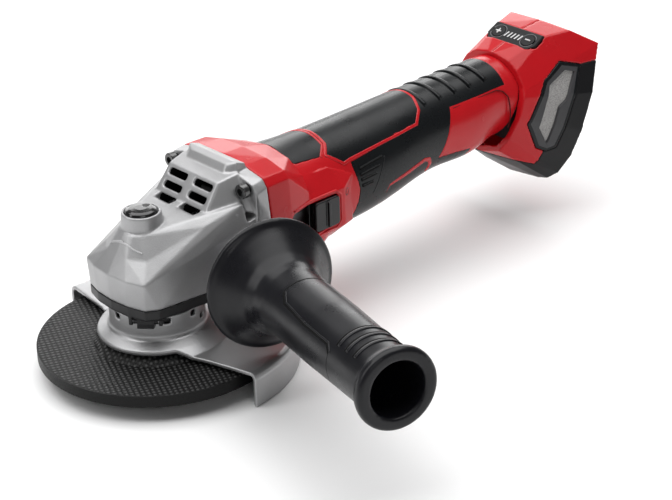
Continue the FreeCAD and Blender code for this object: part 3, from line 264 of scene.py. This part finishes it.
def mesh_cloth():
    """Pale grey dust filter: fine irregular woven wire."""
    s = Shader("filter_mesh", (0.46, 0.45, 0.44), 0.6, 0.2)
    voronoi = s.nodes.new("ShaderNodeTexVoronoi")
    voronoi.inputs["Scale"].default_value = 2300.0
    s.links.new(s.coords.outputs["Object"], voronoi.inputs["Vector"])
    s.vary_colour(s.spread(voronoi.outputs["Distance"], 0.0, 1.0, 0.1, 0.7), 1.2, 0.55)
    s.bump(voronoi.outputs["Distance"], 0.8, 0.0003)
    return s.material


M = {
    # red, cast and guard get a painted highlight on their convex edges: a lighter tint and its strength
    "red": plain("red_plastic", (0.50, 0.007, 0.012), 0.24, grain=1500.0, strength=0.12, span=0.04,
                 specular=0.3, highlight_edges=((0.75, 0.10, 0.11), 0.3)),
    "rubber": plain("grip_rubber", (0.006, 0.007, 0.008), 0.28, grain=1800.0, strength=0.25,
                    grain_depth=0.00004, specular=0.22),
    # groove: painted shade, near-black and dull, for grooves and the faces inside slots
    "groove": plain("painted_groove_shade", (0.003, 0.003, 0.003), 0.7, grain=1500.0, specular=0.15),
    "red_seam": plain("red_seam", (0.09, 0.003, 0.004), 0.6, grain=1500.0, specular=0.2),
    "handle": plain("handle_rubber", (0.006, 0.006, 0.008), 0.3, grain=1500.0, strength=0.2,
                    specular=0.3),
    "bumper": plain("bumper_rubber", (0.007, 0.007, 0.008), 0.36, grain=1500.0, strength=0.3,
                    specular=0.25),
    "cast": plain("cast_aluminium", (0.37, 0.37, 0.375), 0.4, metal=0.6, grain=1100.0, strength=0.6,
                  grain_depth=0.00012, highlight_edges=((0.62, 0.62, 0.63), 0.6), speckle=0.16),
    "guard": plain("guard_steel", (0.38, 0.38, 0.385), 0.38, metal=0.75, grain=1300.0, strength=0.5,
                   grain_depth=0.0001, highlight_edges=((0.80, 0.80, 0.80), 0.6), speckle=0.12),
    "black_metal": plain("black_metal", (0.012, 0.012, 0.013), 0.45, metal=0.2, grain=1300.0),
    "screw": plain("screw_black", (0.11, 0.11, 0.11), 0.25, metal=0.9, grain=700.0, strength=0.1),
    "gloss": plain("black_gloss", (0.005, 0.005, 0.005), 0.14, coat=0.2, grain=300.0, strength=0.03),
    "switch": plain("switch_plastic", (0.007, 0.007, 0.008), 0.2, grain=1400.0, strength=0.1,
                    specular=0.4),
    "panel": plain("panel_black", (0.006, 0.006, 0.007), 0.35, grain=1600.0, strength=0.1, specular=0.2),
    "white": plain("sign_white", (0.75, 0.75, 0.75), 0.4, grain=500.0, strength=0.05),
    "ring": plain("ring_grey", (0.20, 0.20, 0.21), 0.4, grain=700.0, strength=0.05, specular=0.3),
    "grey_frame": plain("filter_frame_grey", (0.05, 0.05, 0.053), 0.4, grain=1400.0, strength=0.3,
                        specular=0.3),
    "mesh": mesh_cloth(),
    "abrasive": woven_abrasive(),
    "steel": brushed("turned_steel", (0.58, 0.58, 0.60), 0.3),
    "gear": plain("gear_steel", (0.30, 0.30, 0.31), 0.35, metal=1.0, grain=900.0),
    "bearing": brushed("bearing_steel", (0.70, 0.70, 0.72), 0.2),
    "bronze": plain("bronze", (0.52, 0.33, 0.14), 0.4, metal=1.0),
    "lamination": brushed("laminations", (0.22, 0.22, 0.23), 0.5, stretch=(60, 1, 1)),
    "magnet": plain("magnet_plating", (0.45, 0.45, 0.46), 0.3, metal=1.0),
    "nylon": plain("black_nylon", (0.02, 0.02, 0.021), 0.5, grain=900.0),
    "copper": plain("copper", (0.62, 0.25, 0.09), 0.35, metal=1.0),
    "board": plain("board_green", (0.02, 0.11, 0.04), 0.4, coat=0.3),
}

NODE_LOOKS = {
    "spindle": "steel", "rotor_shaft": "steel", "lever_pin": "steel", "lock_pin": "steel",
    "switch_rod": "steel", "inner_flange": "steel", "lock_nut": "steel", "wheel_bushing": "steel",
    "grinding_wheel": "abrasive", "ring_gear": "gear", "pinion": "gear",
    "spindle_bearing_outer": "bearing", "spindle_bearing_inner": "bearing",
    "spindle_bearing_balls": "bearing", "front_bearing_outer": "bearing",
    "front_bearing_inner": "bearing", "front_bearing_balls": "bearing",
    "rear_bearing_outer": "bearing", "rear_bearing_inner": "bearing", "rear_bearing_balls": "bearing",
    "bearing_retainer": "bearing", "spindle_seal": "rubber", "upper_bush": "bronze",
    "gear_head": "cast", "bearing_flange": "black_metal", "flange_screws": "screw",
    "head_screws": "screw", "lock_button": "gloss", "lock_spring": "steel", "guard": "guard",
    "guard_lever": "black_metal", "rotor_core": "lamination", "stator_core": "lamination",
    "rotor_magnets": "magnet", "fan": "nylon", "bearing_bracket": "nylon", "controller_tray": "nylon",
    "micro_switch": "nylon", "battery_rails": "nylon", "stator_windings": "copper",
    "terminal_blades": "copper", "front_grip_pad": "rubber", "top_grip_pad": "rubber",
    "grip_sleeve": "rubber", "motor_housing": "red", "rear_housing_left": "red",
    "rear_housing_right": "red", "switch_slider": "switch", "rear_bumper": "bumper",
    "filter_left": "grey_frame", "filter_right": "grey_frame", "control_panel": "panel",
    "level_bars": "white", "plus_button": "panel", "minus_button": "panel", "panel_board": "board",
    "controller_board": "board", "handle_grip": "handle", "handle_stud": "steel",
    "handle_washer": "steel",
}


def dress(obj, look):
    obj.data.materials.clear()
    obj.data.materials.append(M[look])


# ---------------------------------------------------------------- pieces
BODY_OF = {}
for body_name, members in frame["record"]["behaviour"]["bodies"].items():
    for member in members:
        BODY_OF[member] = body_name


def evaluated_mesh(obj):
    graph = bpy.context.evaluated_depsgraph_get()
    mesh = bpy.data.meshes.new_from_object(obj.evaluated_get(graph))
    obj.modifiers.clear()
    obj.data = mesh


def face_centres(obj):
    """Middles of an object's faces, in millimetres."""
    flat = np.zeros(len(obj.data.polygons) * 3)
    obj.data.polygons.foreach_get("center", flat)
    return flat.reshape(-1, 3) / MM


def paint(obj, looks, kind):
    """Give each face the look that its number in kind picks; 0 is the piece's own look."""
    for look in looks:
        obj.data.materials.append(M[look])
    obj.data.polygons.foreach_set("material_index", kind.astype(np.int32))
    obj.data.update()


def tree_of(obj):
    return BVHTree.FromPolygons([v.co for v in obj.data.vertices],
                                [p.vertices for p in obj.data.polygons])


def shade_smooth(obj):
    obj.data.polygons.foreach_set("use_smooth", [True] * len(obj.data.polygons))
    obj.data.update()


def rounded(node, voxel, smooth=3, keep=1.0):
    """A finer copy of a CAD node with its edges softened, which stands for that node."""
    mesh = NODES[node].data.copy()
    piece = bpy.data.objects.new(node + "_form", mesh)
    bpy.context.collection.objects.link(piece)
    work = bmesh.new()
    work.from_mesh(mesh)
    bmesh.ops.remove_doubles(work, verts=work.verts, dist=1e-6)
    work.to_mesh(mesh)
    work.free()
    remesh = piece.modifiers.new("remesh", "REMESH")
    remesh.mode = "VOXEL"
    remesh.voxel_size = voxel * MM
    if smooth:
        soften = piece.modifiers.new("soften", "SMOOTH")
        soften.factor = 0.5
        soften.iterations = smooth
    if keep < 1.0:
        thin = piece.modifiers.new("thin", "DECIMATE")
        thin.ratio = keep
    evaluated_mesh(piece)
    shade_smooth(piece)
    dress(piece, NODE_LOOKS[node])
    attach(piece, BODY_OF[node])
    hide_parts(node)
    return piece


def finish_piece(work, name, look, body, smooth=False):
    """Object made from a bmesh, with its look, body and material slot."""
    mesh = bpy.data.meshes.new(name)
    work.to_mesh(mesh)
    work.free()
    piece = bpy.data.objects.new(name, mesh)
    bpy.context.collection.objects.link(piece)
    if smooth:
        shade_smooth(piece)
    mesh.materials.append(M[look])
    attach(piece, body)
    return piece


def bar_between(name, start, end, width, height, up, look, body):
    """Slim bar with a rounded top lying on a surface, from start to end in millimetres."""
    start, end, up = Vector(start), Vector(end), Vector(up).normalized()
    along = (end - start).normalized()
    side = up.cross(along).normalized()
    section = [(-width / 2, -0.5), (-width / 2, height * 0.4), (-width / 4, height), (width / 4, height),
               (width / 2, height * 0.4), (width / 2, -0.5)]
    work = bmesh.new()
    rings = [[work.verts.new((p + side * a + up * h) * MM) for a, h in section] for p in (start, end)]
    for k in range(len(section)):
        n = (k + 1) % len(section)
        work.faces.new((rings[0][k], rings[0][n], rings[1][n], rings[1][k]))
    work.faces.new(rings[0][::-1])
    work.faces.new(rings[1])
    bmesh.ops.recalc_face_normals(work, faces=work.faces)
    return finish_piece(work, name, look, body)


def trail(line, steps=14, closed=False):
    """Polyline of flat points cut into short stretches."""
    ends = list(zip(line[:-1], line[1:])) + ([(line[-1], line[0])] if closed else [])
    path = [(u0 + (u1 - u0) * k / steps, v0 + (v1 - v0) * k / steps)
            for (u0, v0), (u1, v1) in ends for k in range(steps)]
    return path if closed else path + [line[-1]]


def ribbon(name, spots, width, lift, look, body, closed=False):
    """Low strip with a rounded section through (place, outward direction) pairs."""
    work = bmesh.new()
    rings = []
    total = len(spots)
    for n, (here, out) in enumerate(spots):
        before = spots[n - 1][0] if closed or n else here
        after = spots[(n + 1) % total][0] if closed or n < total - 1 else here
        side = out.cross(after - before).normalized()
        section = [(-0.5, -0.6), (-0.5, lift * 0.5), (-0.3, lift), (0.3, lift), (0.5, lift * 0.5),
                   (0.5, -0.6)]
        rings.append([work.verts.new((here + side * (s * width) + out * h) * MM) for s, h in section])
    count = 6
    for n in range(total if closed else total - 1):
        for k in range(count):
            m = (k + 1) % count
            work.faces.new((rings[n][k], rings[n][m], rings[(n + 1) % total][m],
                            rings[(n + 1) % total][k]))
    if not closed:
        work.faces.new(rings[0][::-1])
        work.faces.new(rings[-1])
    bmesh.ops.recalc_face_normals(work, faces=work.faces)
    return finish_piece(work, name, look, body, smooth=True)


def cast(tree, start, way):
    """Where a line from start meets a piece, in millimetres."""
    return tree.ray_cast(Vector(start) * MM, Vector(way).normalized())[0] / MM


def inside(u, v, outline):
    """Which flat points lie inside a closed outline."""
    found = np.zeros(len(u), bool)
    for (u0, v0), (u1, v1) in zip(outline, outline[1:] + outline[:1]):
        crosses = (v0 > v) != (v1 > v)
        found ^= crosses & (u < (u1 - u0) * (v - v0) / (v1 - v0 + 1e-12) + u0)
    return found


def line_distance(u, v, line):
    """Distance in millimetres of flat points from a polyline."""
    best = np.full(len(u), 1e9)
    for (u0, v0), (u1, v1) in zip(line[:-1], line[1:]):
        du, dv = u1 - u0, v1 - v0
        t = np.clip(((u - u0) * du + (v - v0) * dv) / (du * du + dv * dv + 1e-12), 0, 1)
        best = np.minimum(best, np.hypot(u - u0 - t * du, v - v0 - t * dv))
    return best


make_camera()

for node, look in NODE_LOOKS.items():
    dress(NODES[node], look)

# ---------------------------------------------------------------- gear head, bearing flange, guard and lock button
VENT_FOOT = (14.0, 70.0)          # x and z of the lower edge of the sloping face with the slots
VENT_INWARD = (0.802, -0.597)     # direction through that face, into the head


def paint_vent_shade(head):
    """Painted shade: black for the faces inside the slots."""
    x, y, z = face_centres(head).T
    depth = (x - VENT_FOOT[0]) * VENT_INWARD[0] + (z - VENT_FOOT[1]) * VENT_INWARD[1]
    shaded_slot = (depth > 1.0) & (depth < 14.0) & (np.abs(y) < 17.6) & (x < 40.0)
    # the deep slot faces get painted shade
    paint(head, ["groove"], shaded_slot & (z > VENT_FOOT[1]) & (z < 88.6))


head = rounded("gear_head", 0.55, 10, 0.6)
paint_vent_shade(head)
rounded("bearing_flange", 0.5, 3, 0.6)
rounded("guard", 0.55, 2, 0.6)
rounded("lock_button", 0.25, 2)

head_tree = tree_of(head)


def drop(x, y):
    """Point and outward direction where a vertical line meets the head from above."""
    place, normal = head_tree.ray_cast(Vector((x, y, 200)) * MM, Vector((0, 0, -1)))[:2]
    return place / MM, normal


# turning arrow cast on the hood, as short straight strokes seen from above
ARROW = ([(-20.0, 6.9), (-19.5, -1.0)], [(-19.5, -1.0), (-18.6, -8.3)], [(-18.6, -8.3), (-16.6, -13.4)],
         [(-20.0, 6.9), (-19.1, -2.0)])
for number, ends in enumerate(ARROW):
    (x0, y0), (x1, y1) = ends
    stops = [drop(x0 + (x1 - x0) * k / 6, y0 + (y1 - y0) * k / 6) for k in range(7)]
    for k in range(6):
        (start, up), (end, up_end) = stops[k:k + 2]
        bar_between("turn_arrow_%d_%d" % (number, k), start, end, 0.9, 0.45, up + up_end, "cast",
                    "body")

# ---------------------------------------------------------------- barrel


def on_skin(x, angle, lift=0.0):
    centre = np.interp(x, BARREL[:, 0], BARREL[:, 1])
    radius = np.interp(x, BARREL[:, 0], BARREL[:, 2]) + lift
    turn = math.radians(angle)
    return Vector((x, radius * math.sin(turn), centre + radius * math.cos(turn)))


def barrel_strip(name, line, width, lift, look, steps=14, closed=False):
    """Strip following a polyline of (x, angle) over the barrel."""
    spots = []
    for x, angle in trail(line, steps, closed):
        turn = math.radians(angle)
        spots.append((on_skin(x, angle), Vector((0, math.sin(turn), math.cos(turn)))))
    return ribbon(name, spots, width, lift, look, "body", closed)


def plan_angle(x, y):
    """Angle from the top at which the barrel's skin stands over a point of the plan."""
    return math.degrees(math.asin(y / np.interp(x, BARREL[:, 0], BARREL[:, 2])))


housing_tree = tree_of(rounded("motor_housing", 0.55, 2, 0.5))
TOP_PAD = [(107.2, 0), (106.2, -12.8), (101.6, -18.4), (109.6, -23.6), (115.0, -22.9), (166.3, -20.1),
           (173.0, -15.2), (176.4, -7.3), (176.8, 0)]
pad_line = TOP_PAD + [(x, -y) for x, y in reversed(TOP_PAD) if y]
barrel_strip("top_pad_border", [(x, plan_angle(x, y)) for x, y in pad_line], 1.6, 0.12, "red",
             10, True)
pad_end = [(98.0, -18.6), (104.3, -12.9), (105.3, 0), (104.3, 12.9), (98.0, 18.6)]
barrel_strip("front_pad_border", [(x, plan_angle(x, y)) for x, y in pad_end], 1.3, 0.12, "red",
             10)

RIDGE_START, RIDGE_PITCH = 180.8, 11.7     # x of the first finger groove, and the step to the next
RIDGE_BOW = 0.18 * 24.4                    # how far the middle of a groove bows forward
RIDGE_BEHIND = 2.1                         # the ridge stands this far behind its groove
for n in range(5):
    arc = []
    for angle in np.linspace(-35, 35, 15):
        bow = RIDGE_BOW * math.cos(math.radians(angle))
        arc.append((RIDGE_START + RIDGE_PITCH * n - bow + RIDGE_BEHIND, angle))
    barrel_strip("finger_ridge_%d" % n, arc, 2.2, 0.5, "rubber", 2)

# side of the barrel: raised lip round the switch slot (x, z), grip lines as (x, angle), each a strip of
# painted groove shade with a raised ridge beside it
LIP = [(64.0, 67.4), (96.0, 67.4), (99.4, 64.4), (99.4, 49.6), (96.0, 46.6), (64.0, 46.6)]
RIBS = [[(118.5, -68.0), (135.6, -67.0)], [(118.3, -74.6), (132.4, -74.6)],
        [(118.3, -80.4), (129.6, -81.4)], [(118.6, -87.0), (126.6, -88.4)]]
for side, sign in (("right", 1), ("left", -1)):
    for n, rib in enumerate(RIBS):
        # painted shade of the grip line's groove
        barrel_strip("grip_rib_%d_%s" % (n, side), [(x, a * sign) for x, a in rib], 0.9, 0.12,
                     "groove")
        barrel_strip("grip_ridge_%d_%s" % (n, side), [(x, (a + 1.6) * sign) for x, a in rib], 0.7,
                     0.35, "rubber")
    barrel_strip("grip_wedge_" + side, [(137.3, -66.7 * sign), (126.9, -102.6 * sign)], 0.8, 0.3,
                 "rubber")
    inlay = [(131.5, -133.0), (134.1, -126.6), (139.2, -104.8), (168.0, -101.3), (171.8, -105.0),
             (173.9, -115.0), (173.4, -128.0)]
    barrel_strip("grip_inlay_" + side, [(x, a * sign) for x, a in inlay], 2.3, 0.25, "red")
    seam_line = [(194.8, -54.5), (229.5, -54.5), (233.4, -59.0), (236.0, -68.5), (236.5, -114.0)]
    barrel_strip("label_edge_" + side, [(x, a * sign) for x, a in seam_line], 0.45, 0.06,
                 "red_seam")


# ---------------------------------------------------------------- slide switch
def side_ribbon(name, line, width, lift, look, steps, closed):
    """Ribbon on the housing's side that carries the switch."""
    spots = [(cast(housing_tree, (x, -60, z), (0, 1, 0)), Vector((0, -1, 0)))
             for x, z in trail(line, steps, closed)]
    return ribbon(name, spots, width, lift, look, "body", closed)


side_ribbon("slot_lip", LIP, 1.2, 0.55, "red", 6, False)
MARK_X, MARK_Z, MARK_R = 105.0, 63.4, 1.8
circle = [(MARK_X + MARK_R * math.cos(t), MARK_Z + MARK_R * math.sin(t))
          for t in np.linspace(0.6, 2 * math.pi, 14)]
side_ribbon("housing_mark", circle, 0.6, 0.12, "red_seam", 1, False)
rounded("switch_slider", 0.25, 2)

# ---------------------------------------------------------------- battery foot
rounded("rear_housing_left", 0.6, 3, 0.5)
rounded("rear_housing_right", 0.6, 3, 0.5)
rounded("rear_bumper", 0.45, 2, 0.5)
rounded("control_panel", 0.3, 1)

FILTER_OUTLINE = [(259.8, 79.1), (272.9, 86.8), (285.1, 83.2), (262.5, 39.5), (257.3, 38.0),
                  (251.4, 41.3), (245.1, 57.2)]      # x and z of the cover's outline
MESH_OUTLINE = [(262.3, 76.0), (274.4, 82.0), (280.4, 80.2), (271.0, 65.9), (266.0, 62.8),
                (257.0, 42.8), (252.2, 53.7)]        # and of the mesh in it

for side in ("left", "right"):
    cover = rounded("filter_" + side, 0.3, 1)
    x, _, z = face_centres(cover).T
    border = line_distance(x, z, FILTER_OUTLINE + FILTER_OUTLINE[:1]) < 1.7
    cloth = inside(x, z, MESH_OUTLINE) & (line_distance(x, z, MESH_OUTLINE + MESH_OUTLINE[:1]) > 0.35)
    paint(cover, ["rubber", "mesh"], np.where(border, 1, np.where(cloth, 2, 0)))

# control panel: signs and rings, all lying on the sloping film
KEY_SPREAD = 11.2                 # each key stands this far from the middle of the panel
KEY_RING = 4.9                    # radius of the ring round a key
PANEL_MIDDLE = Vector((264.5, 0, 97.0))
PANEL_DOWN = Vector((-11.2, 0, -5.8)).normalized()
PANEL_OUT = Vector((PANEL_DOWN.z, 0, -PANEL_DOWN.x))


def on_panel(across, down, lift):
    return PANEL_MIDDLE + Vector((0, across, 0)) + PANEL_DOWN * down + PANEL_OUT * lift


def panel_sign(name, start, end, width, lift, look, body):
    bar_between(name, on_panel(*start, lift), on_panel(*end, lift), width, 0.25, PANEL_OUT, look, body)


for sign, middle in (("plus", KEY_SPREAD), ("minus", -KEY_SPREAD)):
    panel_sign(sign + "_bar", (middle - 1.8, 0), (middle + 1.8, 0), 0.8, 1.15, "white", sign + "_key")
    if sign == "plus":
        panel_sign("plus_upright", (middle, -1.8), (middle, 1.8), 0.8, 1.15, "white", "plus_key")
    for k in range(22):
        a, b = (math.radians(-160 + 320 * (k + d) / 22 + (90 if middle < 0 else -90)) for d in (0, 1.04))
        panel_sign("%s_ring_%d" % (sign, k),
                   (middle + KEY_RING * math.sin(a), -KEY_RING * math.cos(a)),
                   (middle + KEY_RING * math.sin(b), -KEY_RING * math.cos(b)), 0.45, 0.55, "ring",
                   "body")

# ---------------------------------------------------------------- side handle
grip_tree = tree_of(rounded("handle_grip", 0.7, 12))
GRIP_UP = Vector((0, 0, 1)) - Vector(HANDLE_DIR) * HANDLE_DIR[2]
GRIP_UP.normalize()
GRIP_SIDE = Vector(HANDLE_DIR).cross(GRIP_UP)


def grip_strip(name, line, width, lift, look, steps=12):
    """Strip following a polyline of (distance out, angle from the top) over the side handle."""
    spots = []
    for s, angle in trail(line, steps):
        turn = math.radians(angle)
        out = GRIP_UP * math.cos(turn) + GRIP_SIDE * math.sin(turn)
        axis = Vector(HANDLE_START) + Vector(HANDLE_DIR) * s
        spots.append((cast(grip_tree, axis + out * 60, -out), out))
    return ribbon(name, spots, width, lift, look, "side_handle")


PANEL_LINE = [(101.6, -52.0), (101.6, 38.0), (107.5, 51.0), (130.6, 56.5), (151.4, 56.5), (155.0, 67.6)]
# dark strips of painted groove shade along the panel outline, the seam and the arcs, with raised ridges
# beside them
grip_strip("grip_panel_groove_shade", PANEL_LINE, 1.2, 0.06, "groove")
grip_strip("grip_panel_edge", [(s + 0.9, a - 3.2) for s, a in PANEL_LINE[1:]], 0.9, 0.3, "handle")
grip_strip("grip_seam_shade", [(155.0, 67.6), (155.0, 112.0)], 0.4, 0.05, "groove")
for n, s in enumerate((158.2, 165.2, 172.2)):
    grip_strip("grip_arc_%d" % n, [(s, -68.0), (s, 49.0 - n)], 1.3, 0.06, "groove", 30)
    grip_strip("grip_arc_ridge_%d" % n, [(s + 1.8, -68.0), (s + 1.8, 48.0 - n)], 2.0, 0.5, "handle", 30)


# ---------------------------------------------------------------- floor and light
def area_light(name, place, target, size, power, colour=(1, 1, 1)):
    data = bpy.data.lights.new(name, "AREA")
    data.shape = "RECTANGLE"
    data.size, data.size_y = size
    data.energy = power
    data.color = colour
    light = bpy.data.objects.new(name, data)
    light.location = place
    aim = Vector(target) - Vector(place)
    light.rotation_euler = aim.to_track_quat("-Z", "Y").to_euler()
    bpy.context.collection.objects.link(light)


def studio():
    floor_mesh = bpy.data.meshes.new("floor")
    reach, low = 6.0, cad_box[0][2] - 0.0002
    floor_mesh.from_pydata([(-reach, -reach, low), (reach, -reach, low), (reach, reach, low),
                            (-reach, reach, low)], [], [(0, 1, 2, 3)])
    floor = bpy.data.objects.new("floor", floor_mesh)
    bpy.context.collection.objects.link(floor)
    paper = Shader("paper", (0.93, 0.93, 0.93), 0.9)
    paper.vary_colour(paper.noise(3.0), 0.99, 1.01)
    floor_mesh.materials.append(paper.material)
    world = bpy.data.worlds.new("studio")
    world.use_nodes = True
    world.node_tree.nodes["Background"].inputs["Color"].default_value = (1, 1, 1, 1)
    world.node_tree.nodes["Background"].inputs["Strength"].default_value = 0.16
    bpy.context.scene.world = world
    area_light("overhead", (0.35, 0.35, 2.4), (0.2, 0.1, 0), (3.6, 3.0), 96)
    area_light("back_card", (1.35, 1.75, 0.75), (0.1, 0, 0.06), (2.6, 0.9), 24)
    area_light("left_strip", (-1.0, 0.5, 0.9), (0.0, 0, 0.05), (0.4, 1.2), 5)
    area_light("front_strip", (-0.7, -1.4, 0.9), (0.1, 0, 0.05), (0.9, 0.25), 2)


studio()
bpy.context.scene.view_settings.view_transform = "Standard"
